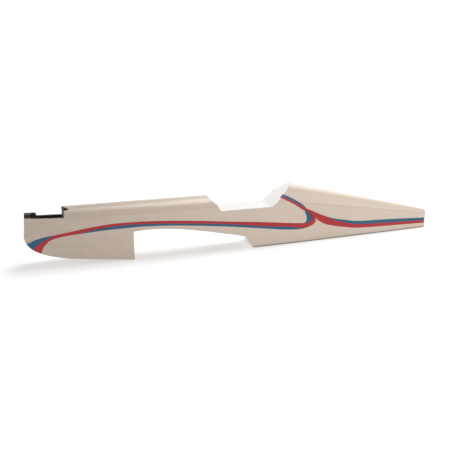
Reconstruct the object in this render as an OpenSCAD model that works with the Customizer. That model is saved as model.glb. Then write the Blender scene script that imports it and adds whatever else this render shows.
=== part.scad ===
// Bare fuselage of a glow-powered radio-controlled low-wing racer.
// Built-up balsa and plywood, covered with film. Millimetres, +X aft, +Y starboard, +Z up.
// Stations are distances aft of the nose ring's front face.

/* [Fuselage] */
// Length from the nose ring to the tail post
fuse_len = 1140; // [1120:5:1160]
// Greatest outside width, at the cockpit
body_w = 76; // [72:1:80]
// Outside width at the nose ring
nose_w = 63; // [60:1:66]
// Outside width at the tail post
tail_w = 23; // [22:1:28]
// Height of the front deck's crown
deck_top = 146; // [142:1:150]
// Height of the turtledeck's peak
peak_top = 165; // [160:1:170]
// Height of the tail post
tail_top = 55; // [52:1:60]

/* [Side view] */
// Height of the engine bay's rim at the nose ring
rim_front = 129.5; // [128:0.5:131]
// Height of the side sheets under the front deck
shoulder = 125; // [123:1:127]
// Height of the cockpit floor's top face
floor_top = 111.5; // [110:0.5:113]
// Height of the turtledeck's lower edge, produced to the seat back's foot
seat_shoulder = 130.5; // [129:0.5:132]
// Height of the turtledeck's lower edge at the tail post
tail_shoulder = 46; // [44:1:47]
// How far the nose ring's front face leans back at the rim
nose_lean = 4; // [0:0.5:4]
// Height at which the nose's straight front edge ends
chin_lip = 84; // [80:1:88]
// Height of the chin where its front curve ends
chin_step = 18; // [16:1:20]
// Height of the wing saddle at the leading edge
saddle_front = 75; // [73:1:77]
// Height of the wing saddle at the trailing edge
saddle_rear = 34; // [32:1:36]

/* [Stations] */
// Firewall's front face
firewall_s = 95; // [93:1:97]
// Leading-edge bulkhead's rear face
le_s = 266; // [264:1:270]
// Front deck's rear end, at the crown
screen_s = 470; // [466:1:474]
// Saddle's rear end, at the trailing edge
te_s = 566; // [562:1:570]
// Belly corner behind the saddle
belly_s = 590; // [588:1:594]
// Foot of the seat back
seat_s = 640; // [636:1:644]
// Peak of the turtledeck
peak_s = 700; // [696:1:704]

/* [Sheet and plywood] */
// Thickness of the balsa side sheets
side_t = 3; // [2.5:0.5:3]
// Thickness of the deck and turtledeck sheets
deck_t = 2; // [1.5:0.5:2]
// Thickness of the chin sheet
chin_t = 3; // [2.5:0.5:3]
// Thickness of the belly sheet
belly_t = 2.5; // [2:0.5:3]
// Thickness of the light plywood formers, tray and floor
ply_t = 3; // [2:0.5:3]
// Thickness of the firewall, the leading-edge bulkhead and the wing bolt plate
thick_ply = 6; // [5:0.5:6]
// Side of the square longerons
longeron = 6; // [5:0.5:6]

/* [Fittings] */
// Height of the thrust line
thrust_z = 100; // [98:1:102]
// Engine mount bolt spacing across
mount_y = 34; // [32:1:36]
// Engine mount bolt spacing up and down
mount_z = 26; // [24:1:28]
// Radius of the thread in the engine mount's blind nuts
mount_thread_r = 1.65; // [1.6:0.05:1.7]
// Radius of the wing dowel holes
dowel_r = 3.2; // [3:0.1:3.3]
// Spacing of the wing dowel holes
dowel_y = 36; // [34:1:40]
// Height of the wing dowel holes
dowel_z = 38; // [36:1:40]
// Spacing of the wing bolts
wing_bolt_y = 44; // [40:1:46]
// Radius of the thread in the wing bolts' blind nuts
wing_thread_r = 2.6; // [2.5:0.05:2.7]
// Outside radius of the pushrod guide tubes
tube_r = 1.6; // [1.5:0.1:1.8]

/* [Hidden] */
$fn = 48;

film_cream = [0.86, 0.80, 0.72];
film_white = [0.93, 0.92, 0.90];
fuelproofed = [0.22, 0.17, 0.14];
balsa = [0.87, 0.76, 0.58];
birch = [0.80, 0.66, 0.45];
spruce = [0.85, 0.70, 0.48];
zinc = [0.72, 0.73, 0.75];
nylon = [0.90, 0.88, 0.78];

port = -1;
starboard = 1;
clear = 0.1;          // glue gap round a former
ring_t = 8;           // nose ring, at its foot
full_width_from = 400;
taper_from = 600;
tall = 220;           // taller than the body
wide = 120;           // wider than the body
arch_steps = 14;
rear_former_s = [720, 830, 940, 1040];
tail_post_s = fuse_len - 12;
elevator_run = [[480, 14, 96], [1116, 5, 42]];
rudder_run = [[480, -14, 96], [1116, -5, 34]];
throttle_run = [[88, -20, 109], [350, -20, 109]];

// Half width of the body in plan, held as straight runs between the plan stations
plan_stations = [0, 45, firewall_s, 180, le_s, full_width_from, taper_from, 680, 760, 840, 920, 1000,
    1070, fuse_len];
function half_w_curve(s) =
    s < full_width_from
        ? body_w / 2 - (body_w - nose_w) / 2 * pow(1 - s / full_width_from, 1.6)
        : s > taper_from
            ? body_w / 2 - (body_w - tail_w) / 2 * pow((s - taper_from) / (fuse_len - taper_from), 1.2)
            : body_w / 2;
plan_table = [for (s = plan_stations) [s, half_w_curve(s)]];
function half_w(s) = lookup(s, plan_table);
function stations(s0, s1) = concat([s0], [for (s = plan_stations) if (s > s0 && s < s1) s], [s1]);
function backwards(list) = [for (i = [len(list) - 1:-1:0]) list[i]];

// Cubic curves of the side view
function cubic(p, t) = pow(1 - t, 3) * p[0] + 3 * pow(1 - t, 2) * t * p[1]
    + 3 * (1 - t) * t * t * p[2] + t * t * t * p[3];
function slope_of(p, t) = 3 * pow(1 - t, 2) * (p[1] - p[0]) + 6 * (1 - t) * t * (p[2] - p[1])
    + 3 * t * t * (p[3] - p[2]);
function inside(p, t, d) = cubic(p, t)
    + d * [-slope_of(p, t)[1], slope_of(p, t)[0]] / norm(slope_of(p, t));
function curve(p, n, d = 0) = [for (i = [0:n]) inside(p, i / n, d)];
chin_curve = [[0, chin_lip], [2, 45], [45, 30], [110, chin_step]];
saddle_curve = [[le_s, saddle_front], [le_s + 79, saddle_front + 9],
    [te_s - 136, saddle_front - 9], [te_s, saddle_rear]];

// Side sheet ahead of the wing, standing on the chin sheet
front_outline = concat(curve(chin_curve, 10, chin_t),
    [[le_s, chin_t], [le_s, shoulder], [firewall_s, shoulder], [nose_lean, rim_front]]);

// Straight lines of the side view
floor_under = floor_top - deck_t;
screen_lean = (deck_top - shoulder) / 16;
function screen_at(z) = screen_s + (deck_top - z) / screen_lean;
seat_lean = (peak_top - floor_top) / (peak_s - seat_s);
seat_drop = deck_t * sqrt(1 + seat_lean * seat_lean);
function seat_line(s, drop = 0) = floor_top + (s - seat_s) * seat_lean - drop;
shoulder_lean = (tail_shoulder - seat_shoulder) / (fuse_len - seat_s);
function rear_shoulder(s) = seat_shoulder + (s - seat_s) * shoulder_lean;
function rear_top(s) = peak_top + (s - peak_s) * (tail_top - peak_top) / (fuse_len - peak_s);
seat_meets_s = seat_s + (seat_shoulder - floor_top + seat_drop) / (seat_lean - shoulder_lean);
cut_lean = saddle_rear / (belly_s - te_s);
function cut_at(z) = te_s + (saddle_rear - z) / cut_lean;

function is_rear(s) = s > seat_s - 2;
function shoulder_at(s) = is_rear(s) ? rear_shoulder(s) : shoulder;
function top_at(s) = is_rear(s) ? rear_top(s) : deck_top;
// The turtledeck's arch is more pointed than the front deck's
function arch_power(s) = is_rear(s) ? 1.5 : 1;
// Arch over the side sheets at station s, drawn in from the outside by in_y and in_z, as [y, z]
function arch(s, in_y, in_z) = [for (i = [0:arch_steps]) let (a = 180 * i / arch_steps)
    [-(half_w(s) - in_y) * cos(a),
     shoulder_at(s) + (top_at(s) - shoulder_at(s) - in_z) * pow(sin(a), arch_power(s))]];
// Outline of a former at station s from height low up, clear of the sheets
function former_outline(s, low) = let (w = half_w(s) - side_t - clear)
    concat([[w, low], [-w, low]], arch(s, side_t + clear, deck_t + 4 * clear));
function octagon(z0, z1, w) = let (c = min(w, (z1 - z0) / 2) * 0.5)
    [[w, z0 + c], [w, z1 - c], [w - c, z1], [c - w, z1], [-w, z1 - c], [-w, z0 + c], [c - w, z0], [w - c, z0]];
// Height of the web that carries the tail pushrod tubes through a rear former
function web_z(s) = let (a = elevator_run[0], b = elevator_run[1], c = rudder_run[1])
    a[2] + ((b[2] + c[2]) / 2 - a[2]) * (s - a[0]) / (b[0] - a[0]);

// Places station 0 so that the origin is at the middle of the length
module on_body(shade) {
    translate([-fuse_len / 2, 0, 0]) color(shade) children();
}

// Side-view outline, as [station, z], run across the body
module across(outline, y0 = -wide / 2, y1 = wide / 2) {
    translate([0, y1, 0]) rotate([90, 0, 0]) linear_extrude(y1 - y0) polygon(outline);
}

// Plate with a [y, z] outline, its front face at station s
module plate(outline, s, t) {
    translate([s, 0, 0]) rotate([90, 0, 90]) linear_extrude(t) polygon(outline);
}

// Upright block that follows the plan from s0 to s1, inset from the outside
module plan_block(s0, s1, inset = 0) {
    edge = [for (s = stations(s0, s1)) [s, half_w(s) - inset]];
    linear_extrude(tall) polygon(concat(edge, [for (p = backwards(edge)) [p[0], -p[1]]]));
}

// Upright wall that follows the plan on one side, between two insets
module plan_wall(s0, s1, outer, inner, side) {
    run = stations(s0, s1);
    linear_extrude(tall) polygon(concat([for (s = run) [s, side * (half_w(s) - outer)]],
        [for (s = backwards(run)) [s, side * (half_w(s) - inner)]]));
}

// Closed surface through rings of equal length
module loft(rings) {
    n = len(rings[0]);
    last = (len(rings) - 1) * n;
    polyhedron(points = [for (ring = rings) each ring],
        faces = concat([[for (i = [n - 1:-1:0]) i]], [[for (i = [0:n - 1]) last + i]],
            [for (r = [0:len(rings) - 2], i = [0:n - 1]) let (a = r * n + i, b = r * n + (i + 1) % n)
                each [[a, b, a + n], [b, b + n, a + n]]]));
}

// Arched sheet over the side sheets from s0 to s1
module arch_sheet(s0, s1) {
    loft([for (s = stations(s0, s1))
        [for (p = concat(arch(s, 0, 0), backwards(arch(s, deck_t, deck_t)))) [s, p[0], p[1]]]]);
}

// Solid inside the body from height low to the arch, drawn in by in_y and in_z
module body_fill(s0, s1, low, in_y, in_z) {
    loft([for (s = stations(s0, s1)) let (w = half_w(s) - in_y)
        [for (p = concat(arch(s, in_y, in_z), [[w, low], [-w, low]])) [s, p[0], p[1]]]]);
}

// Straight rod between two points
module rod(run, r) {
    d = run[1] - run[0];
    translate(run[0]) rotate([0, acos(d[2] / norm(d)), atan2(d[1], d[0])]) cylinder(h = norm(d), r = r);
}

// Guide tubes, or the holes they pass through when grown
module guide_tubes(grow = 0) {
    for (run = [elevator_run, rudder_run, throttle_run]) rod(run, tube_r + grow);
}

// Pronged nut: flange on top, barrel downwards, threaded through
module blind_nut(flange_r, barrel_r, barrel, thread_r) {
    difference() {
        union() {
            cylinder(h = 1.2, r = flange_r);
            translate([0, 0, -barrel]) cylinder(h = barrel, r = barrel_r);
        }
        translate([0, 0, -barrel - 1]) cylinder(h = barrel + 4, r = thread_r);
    }
}

// Muffler cut-out in the starboard wall of the engine bay, open as far as station end
module muffler_cut(end = firewall_s) {
    low = shoulder - 7;
    across([[30, rim_front + 5], [34, low + 2.5], [firewall_s, low], [end, low], [end, rim_front + 5]], 0, wide / 2);
}

// ---------------- nose ----------------

module nose_ring() {
    on_body(fuelproofed) difference() {
        intersection() {
            plan_block(0, ring_t);
            across(concat(curve(chin_curve, 10), [[firewall_s, rim_front], [nose_lean, rim_front]]));
        }
        translate([-1, 0, thrust_z]) rotate([0, 90, 0]) cylinder(h = ring_t + 2, r = 18);
        translate([-1, -18, thrust_z]) cube([ring_t + 2, 36, tall]);
    }
}

module mount_bolt_places() {
    for (y = [-mount_y / 2, mount_y / 2], z = [-mount_z / 2, mount_z / 2])
        translate([firewall_s + thick_ply, y, thrust_z + z]) rotate([0, 90, 0]) children();
}

module firewall() {
    on_body(fuelproofed) difference() {
        plate(former_outline(firewall_s, 23.6), firewall_s, thick_ply);
        mount_bolt_places() translate([0, 0, -thick_ply - 1]) cylinder(h = thick_ply + 2, r = 2.8);
        for (y = [8, 18])
            translate([firewall_s - 1, y, thrust_z + 26]) rotate([0, 90, 0]) cylinder(h = thick_ply + 2, r = 3);
        guide_tubes(clear);
    }
}

module engine_mount_blind_nuts() {
    on_body(zinc) mount_bolt_places() blind_nut(7, 2.8, thick_ply, mount_thread_r);
}

module cowl_block(s, y, top) {
    difference() {
        translate([s, y - 4, top - 12]) cube([11, 8, 12]);
        translate([s + 5.5, y, top - 10]) cylinder(h = 12, r = 1.2);
    }
}

module cowl_blocks() {
    on_body(birch) {
        cowl_block(ring_t + 1, -21.5, rim_front - 1);
        cowl_block(ring_t + 1, 21.5, rim_front - 1);
        cowl_block(firewall_s - 12, -23, shoulder - 1);
    }
}

module bay_doubler(side) {
    on_body(fuelproofed) difference() {
        intersection() {
            across(front_outline);
            plan_wall(ring_t, firewall_s, side_t, side_t + ply_t, side);
        }
        muffler_cut(firewall_s + 1);
    }
}

// ---------------- side, chin and belly sheets ----------------

module side_front(side) {
    on_body(film_cream) difference() {
        intersection() {
            across(front_outline);
            plan_wall(ring_t, le_s, 0, side_t, side);
        }
        muffler_cut();
    }
}

module side_centre(side) {
    on_body(film_cream) intersection() {
        across(concat(curve(saddle_curve, 16), [[cut_at(belly_t), belly_t], [belly_s, belly_t],
            [belly_s, floor_under], [screen_at(floor_under), floor_under],
            [screen_at(shoulder), shoulder], [le_s, shoulder]]));
        plan_wall(le_s, belly_s, 0, side_t, side);
    }
}

module side_rear(side) {
    on_body(film_cream) intersection() {
        across([[belly_s, belly_t], [fuse_len, belly_t], [fuse_len, tail_shoulder],
            [seat_meets_s, rear_shoulder(seat_meets_s)],
            [seat_s + (seat_drop - deck_t) / seat_lean, floor_under], [belly_s, floor_under]]);
        plan_wall(belly_s, fuse_len, 0, side_t, side);
    }
}

module chin_sheet() {
    on_body(film_cream) intersection() {
        across(concat(curve(chin_curve, 10), [[le_s, 0], [le_s, chin_t]],
            backwards(curve(chin_curve, 10, chin_t))));
        plan_block(ring_t, le_s);
    }
}

module belly_sheet() {
    on_body(film_cream) intersection() {
        across([[belly_s, 0], [fuse_len, 0], [fuse_len, belly_t], [cut_at(belly_t), belly_t]]);
        plan_block(te_s, fuse_len);
    }
}

// ---------------- front deck, tank and radio bays ----------------

module deck_sheet() {
    on_body(film_cream) difference() {
        arch_sheet(firewall_s, screen_at(shoulder));
        across([[screen_at(deck_top + 9), deck_top + 9], [screen_at(shoulder - 9), shoulder - 9],
            [te_s, shoulder - 9], [te_s, deck_top + 9]]);
        translate([0, 0, shoulder + 3]) linear_extrude(tall)
            polygon([[firewall_s - 1, -2], [firewall_s + 16, -19], [firewall_s - 1, -25]]);
    }
}

module longeron_run(s0, s1, side) {
    intersection() {
        across([[s0, shoulder_at(s0) - longeron], [s1, shoulder_at(s1) - longeron],
            [s1, shoulder_at(s1)], [s0, shoulder_at(s0)]]);
        plan_wall(s0, s1, side_t, side_t + longeron, side);
    }
}

module front_longeron_run(side) {
    longeron_run(firewall_s + thick_ply, screen_s - 8, side);
}

module front_longeron(side) {
    on_body(spruce) front_longeron_run(side);
}

module front_longerons() {
    for (side = [port, starboard]) front_longeron_run(side);
}

module deck_former() {
    s = 178;
    on_body(birch) difference() {
        plate(former_outline(s, shoulder - 14), s, ply_t);
        translate([s - 1, 0, 0]) plate(octagon(shoulder - 20, deck_top - 10, 20), 0, ply_t + 2);
        front_longerons();
        guide_tubes(clear);
    }
}

module tank_floor() {
    on_body(birch) intersection() {
        plan_block(firewall_s + thick_ply, le_s - thick_ply, side_t);
        translate([0, -wide / 2, 60]) cube([le_s, wide, ply_t]);
    }
}

module le_bulkhead() {
    s = le_s - thick_ply;
    on_body(birch) difference() {
        plate(former_outline(s, chin_t + 1.2), s, thick_ply);
        plate(octagon(saddle_front + 6, shoulder - 4, 24), s - 1, thick_ply + 2);
        for (y = [-dowel_y / 2, dowel_y / 2])
            translate([s - 1, y, dowel_z]) rotate([0, 90, 0]) cylinder(h = thick_ply + 2, r = dowel_r);
        front_longerons();
        guide_tubes(clear);
    }
}

module mid_former() {
    s = 360;
    on_body(birch) difference() {
        plate(former_outline(s, 90), s, ply_t);
        plate(octagon(84, deck_top - 12, 24), s - 1, ply_t + 2);
        front_longerons();
    }
}

module dash_panel() {
    lead = deck_t * sqrt(1 + 1 / (screen_lean * screen_lean));
    on_body(film_white) intersection() {
        across([[screen_at(deck_top) - lead, deck_top], [screen_at(deck_top), deck_top],
            [screen_at(floor_under), floor_under], [screen_at(floor_under) - lead, floor_under]]);
        body_fill(full_width_from, te_s, 0, side_t, deck_t + clear);
    }
}

module saddle_doubler(side) {
    band = 14;
    low = curve(saddle_curve, 16);
    on_body(birch) intersection() {
        across(concat(low, [for (p = backwards(low)) p + [0, band]]));
        plan_wall(le_s, te_s - 6, side_t, side_t + ply_t, side);
    }
}

module wing_bolt_places() {
    for (y = [-wing_bolt_y / 2, wing_bolt_y / 2])
        translate([te_s - 28, y, saddle_rear + 13 + thick_ply]) children();
}

module wing_bolt_plate() {
    on_body(birch) difference() {
        intersection() {
            plan_block(te_s - 46, te_s - 10, side_t + ply_t);
            translate([0, -wide / 2, saddle_rear + 13]) cube([te_s, wide, thick_ply]);
        }
        wing_bolt_places() translate([0, 0, -thick_ply - 1]) cylinder(h = thick_ply + 2, r = 4);
    }
}

module wing_blind_nuts() {
    on_body(zinc) wing_bolt_places() blind_nut(9.5, 4, 5.5, wing_thread_r);
}

module saddle_rear_bulkhead() {
    lead = ply_t * sqrt(1 + 1 / (cut_lean * cut_lean));
    on_body(film_white) intersection() {
        across([[te_s, saddle_rear], [cut_at(belly_t), belly_t], [cut_at(belly_t) + lead, belly_t],
            [te_s + lead, saddle_rear]]);
        plan_block(te_s - 1, belly_s + 20, side_t);
    }
}

tray_z = 100;
tray_s = 372;
tray_len = 86;
rail = 8;

module servo_rails() {
    on_body(spruce) for (side = [port, starboard])
        intersection() {
            plan_wall(tray_s - 8, tray_s + tray_len + 4, side_t, side_t + rail, side);
            translate([0, -wide / 2, tray_z - rail]) cube([te_s, wide, rail]);
        }
}

// Cut-out and four screw holes of one servo, its length along X
servo_len = 41;
servo_w = 20.5;
servo_screw_x = 48;
servo_screw_y = 10;
module servo_cut() {
    translate([-servo_len / 2, -servo_w / 2, -1]) cube([servo_len, servo_w, ply_t + 2]);
    for (x = [-servo_screw_x / 2, servo_screw_x / 2], y = [-servo_screw_y / 2, servo_screw_y / 2])
        translate([x, y, -1]) cylinder(h = ply_t + 2, r = 1);
}

module servo_tray() {
    on_body(birch) translate([0, 0, tray_z]) difference() {
        translate([tray_s, -34, 0]) cube([tray_len, 68, ply_t]);
        for (y = [-15, 15]) translate([tray_s + 58, y, 0]) servo_cut();
        translate([tray_s + 16, 0, 0]) rotate([0, 0, 90]) servo_cut();
    }
}

// ---------------- cockpit ----------------

module cockpit_floor() {
    on_body(film_white) intersection() {
        across([[screen_at(floor_under), floor_under], [seat_s, floor_under],
            [seat_s, floor_top], [screen_at(floor_top), floor_top]]);
        plan_block(screen_s, seat_s + 5);
    }
}

module seat_former() {
    s = 600;
    on_body(birch) difference() {
        w = half_w(s + ply_t) - side_t - clear;
        plate([[w, belly_t], [w, floor_under], [-w, floor_under], [-w, belly_t]], s, ply_t);
        plate(octagon(belly_t + 10, web_z(s) - 9, w - 10), s - 1, ply_t + 2);
        guide_tubes(clear);
    }
}

module seat_back() {
    foot = seat_s + (seat_drop - deck_t) / seat_lean;
    on_body(film_white) intersection() {
        across([[seat_s, floor_under], [seat_s, floor_top], [peak_s + 3, seat_line(peak_s + 3)],
            [peak_s + 3, seat_line(peak_s + 3, seat_drop)], [foot, floor_under]]);
        body_fill(seat_s - 1, peak_s + 20, 0, 0, 0);
    }
}

// ---------------- turtledeck and tail ----------------

module turtledeck_sheet() {
    on_body(film_cream) difference() {
        arch_sheet(seat_s + 10, fuse_len);
        across([[seat_s - 20, seat_line(seat_s - 20, seat_drop)], [peak_s + 30, seat_line(peak_s + 30, seat_drop)],
            [seat_s - 20, seat_line(peak_s + 30, seat_drop)]]);
    }
}

module spine_run() {
    drop = deck_t + 4 * clear;
    across([[peak_s + 6, rear_top(peak_s + 6) - drop - longeron], [tail_post_s, rear_top(tail_post_s) - drop - longeron],
        [tail_post_s, rear_top(tail_post_s) - drop], [peak_s + 6, rear_top(peak_s + 6) - drop]], -2, 2);
}

module turtledeck_spine() {
    on_body(spruce) spine_run();
}

module rear_longeron_run(side) {
    longeron_run(seat_meets_s + 4, tail_post_s, side);
}

module rear_longeron(side) {
    on_body(spruce) rear_longeron_run(side);
}

module rear_former(s) {
    aft = s + ply_t;
    open_w = half_w(aft) - side_t - longeron - 3;
    on_body(birch) difference() {
        plate(former_outline(aft, belly_t), s, ply_t);
        plate(octagon(belly_t + 10, web_z(s) - 9, open_w), s - 1, ply_t + 2);
        plate(octagon(web_z(s) + 9, rear_top(s) - 16, open_w * 0.8), s - 1, ply_t + 2);
        for (side = [port, starboard]) rear_longeron_run(side);
        spine_run();
        guide_tubes(clear);
    }
}

module tail_post() {
    on_body(balsa) union() {
        intersection() {
            plan_block(tail_post_s, fuse_len, side_t);
            across([[tail_post_s, belly_t], [fuse_len, belly_t], [fuse_len, tail_shoulder],
                [tail_post_s, tail_shoulder]]);
        }
        plate(arch(fuse_len, side_t + clear, deck_t + 4 * clear), tail_post_s, fuse_len - tail_post_s);
    }
}

module tube(run) {
    on_body(nylon) difference() {
        rod(run, tube_r);
        d = (run[1] - run[0]) / norm(run[1] - run[0]);
        rod([run[0] - d, run[1] + d], tube_r - 0.6);
    }
}

nose_ring();
firewall();
engine_mount_blind_nuts();
cowl_blocks();
bay_doubler(port);  // bay_doubler_port
bay_doubler(starboard);  // bay_doubler_starboard
side_front(port);  // side_front_port
side_front(starboard);  // side_front_starboard
side_centre(port);  // side_centre_port
side_centre(starboard);  // side_centre_starboard
side_rear(port);  // side_rear_port
side_rear(starboard);  // side_rear_starboard
chin_sheet();
belly_sheet();
deck_sheet();
deck_former();
tank_floor();
le_bulkhead();
mid_former();
dash_panel();
front_longeron(port);  // front_longeron_port
front_longeron(starboard);  // front_longeron_starboard
saddle_doubler(port);  // saddle_doubler_port
saddle_doubler(starboard);  // saddle_doubler_starboard
wing_bolt_plate();
wing_blind_nuts();
saddle_rear_bulkhead();
servo_rails();
servo_tray();
cockpit_floor();
seat_former();
seat_back();
turtledeck_sheet();
turtledeck_spine();
rear_former(rear_former_s[0]);  // rear_former_1
rear_former(rear_former_s[1]);  // rear_former_2
rear_former(rear_former_s[2]);  // rear_former_3
rear_former(rear_former_s[3]);  // rear_former_4
rear_longeron(port);  // rear_longeron_port
rear_longeron(starboard);  // rear_longeron_starboard
tail_post();
tube(elevator_run);  // elevator_tube
tube(rudder_run);  // rudder_tube
tube(throttle_run);  // throttle_tube
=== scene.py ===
"""Looks of a bare, film-covered fuselage of a low-wing radio-controlled racer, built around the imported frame.

Sizes are in millimetres and places are stations aft of the nose ring, unless a name says otherwise.
BodyForm.place turns them into the frame's metres, with the origin at the middle of the length.
"""

import logging
import math
from collections.abc import Callable, Sequence
from dataclasses import dataclass
from enum import Enum, IntEnum

import bmesh
import bpy
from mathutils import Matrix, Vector


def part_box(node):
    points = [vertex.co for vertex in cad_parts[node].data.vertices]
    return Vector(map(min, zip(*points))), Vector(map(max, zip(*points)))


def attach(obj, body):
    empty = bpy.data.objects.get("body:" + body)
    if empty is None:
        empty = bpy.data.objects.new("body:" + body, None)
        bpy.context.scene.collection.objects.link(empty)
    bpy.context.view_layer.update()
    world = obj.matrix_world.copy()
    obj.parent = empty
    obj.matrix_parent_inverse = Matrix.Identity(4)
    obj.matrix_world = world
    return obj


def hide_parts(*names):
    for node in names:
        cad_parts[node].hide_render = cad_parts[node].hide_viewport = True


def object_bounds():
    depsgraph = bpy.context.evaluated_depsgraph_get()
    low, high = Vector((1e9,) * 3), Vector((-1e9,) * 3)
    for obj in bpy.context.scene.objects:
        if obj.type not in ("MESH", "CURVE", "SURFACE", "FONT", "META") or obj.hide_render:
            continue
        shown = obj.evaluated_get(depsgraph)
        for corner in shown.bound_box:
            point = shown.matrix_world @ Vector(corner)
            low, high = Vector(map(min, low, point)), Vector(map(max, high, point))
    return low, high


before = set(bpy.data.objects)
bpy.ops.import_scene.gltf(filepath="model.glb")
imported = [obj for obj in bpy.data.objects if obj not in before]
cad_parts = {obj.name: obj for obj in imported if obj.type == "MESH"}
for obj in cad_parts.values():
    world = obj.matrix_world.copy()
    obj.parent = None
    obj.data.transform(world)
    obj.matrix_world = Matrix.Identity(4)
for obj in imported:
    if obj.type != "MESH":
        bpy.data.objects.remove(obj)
CAD_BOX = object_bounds()

MM = 0.001
MERGE = 2e-6            # metres, closer points are one point
WELD = 5e-6             # metres, the same for the frame's nodes
SHARP = math.radians(32)
BEVEL_FROM = math.radians(40)
REAR_MARGIN = 2.0       # a station this little ahead of the seat's foot counts as aft of it
FILM_LIFT = -0.12       # covering, measured outwards from the frame's outer surface
SEAM_LIFT = -0.07       # second layer of film where two sheets overlap
TRIM_LIFT = -0.02       # trim film on top of the covering
STRIP_DEPTH = 0.05      # how far a strip of film reaches under the covering's face
ROUND_ARCH = 1.0        # exponents of the front deck's arch, an ellipse, and of the turtledeck's pointed one
POINTED_ARCH = 1.5

Pair = tuple[float, float]
Line = tuple[Pair, ...]
Point = Callable[[int, int], Vector]
FacePoint = Callable[[int, float, bool], Vector]
Paint = Callable[[int, int], int]
Colour = tuple[float, float, float]
Socket = bpy.types.NodeSocket
Mesh = bmesh.types.BMesh
log = logging.getLogger("fuselage")


class Side(Enum):
    """Side of the fuselage; the value is the sign of Y."""

    PORT = -1
    STARBOARD = 1

    @property
    def word(self) -> str:
        """Name used in piece names."""
        return self.name.lower()


class Axis(Enum):
    """Axis of the frame; the value is its place in a vector."""

    X = 0
    Y = 1
    Z = 2


# ---- form of the body


def cubic(p: Sequence[Pair], t: float) -> Pair:
    """Point (station, height) of a cubic curve with four control points, at a share t of the way."""
    weights = ((1 - t) ** 3, 3 * (1 - t) ** 2 * t, 3 * (1 - t) * t * t, t**3)
    return (sum(w * q[0] for w, q in zip(weights, p)), sum(w * q[1] for w, q in zip(weights, p)))


def between(a: float, b: float, share: float) -> float:
    """Value a share of the way from a to b."""
    return a + (b - a) * share


def spread(start: float, end: float, step: float) -> list[float]:
    """Evenly spaced values from start to end, about a step apart."""
    count = max(1, round((end - start) / step))
    return [between(start, end, i / count) for i in range(count + 1)]


def corner_mm(node: str, end: int, axis: Axis) -> float:
    """Coordinate of a node's lowest (end 0) or highest (end 1) corner, in millimetres."""
    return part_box(node)[end][axis.value] / MM


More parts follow.
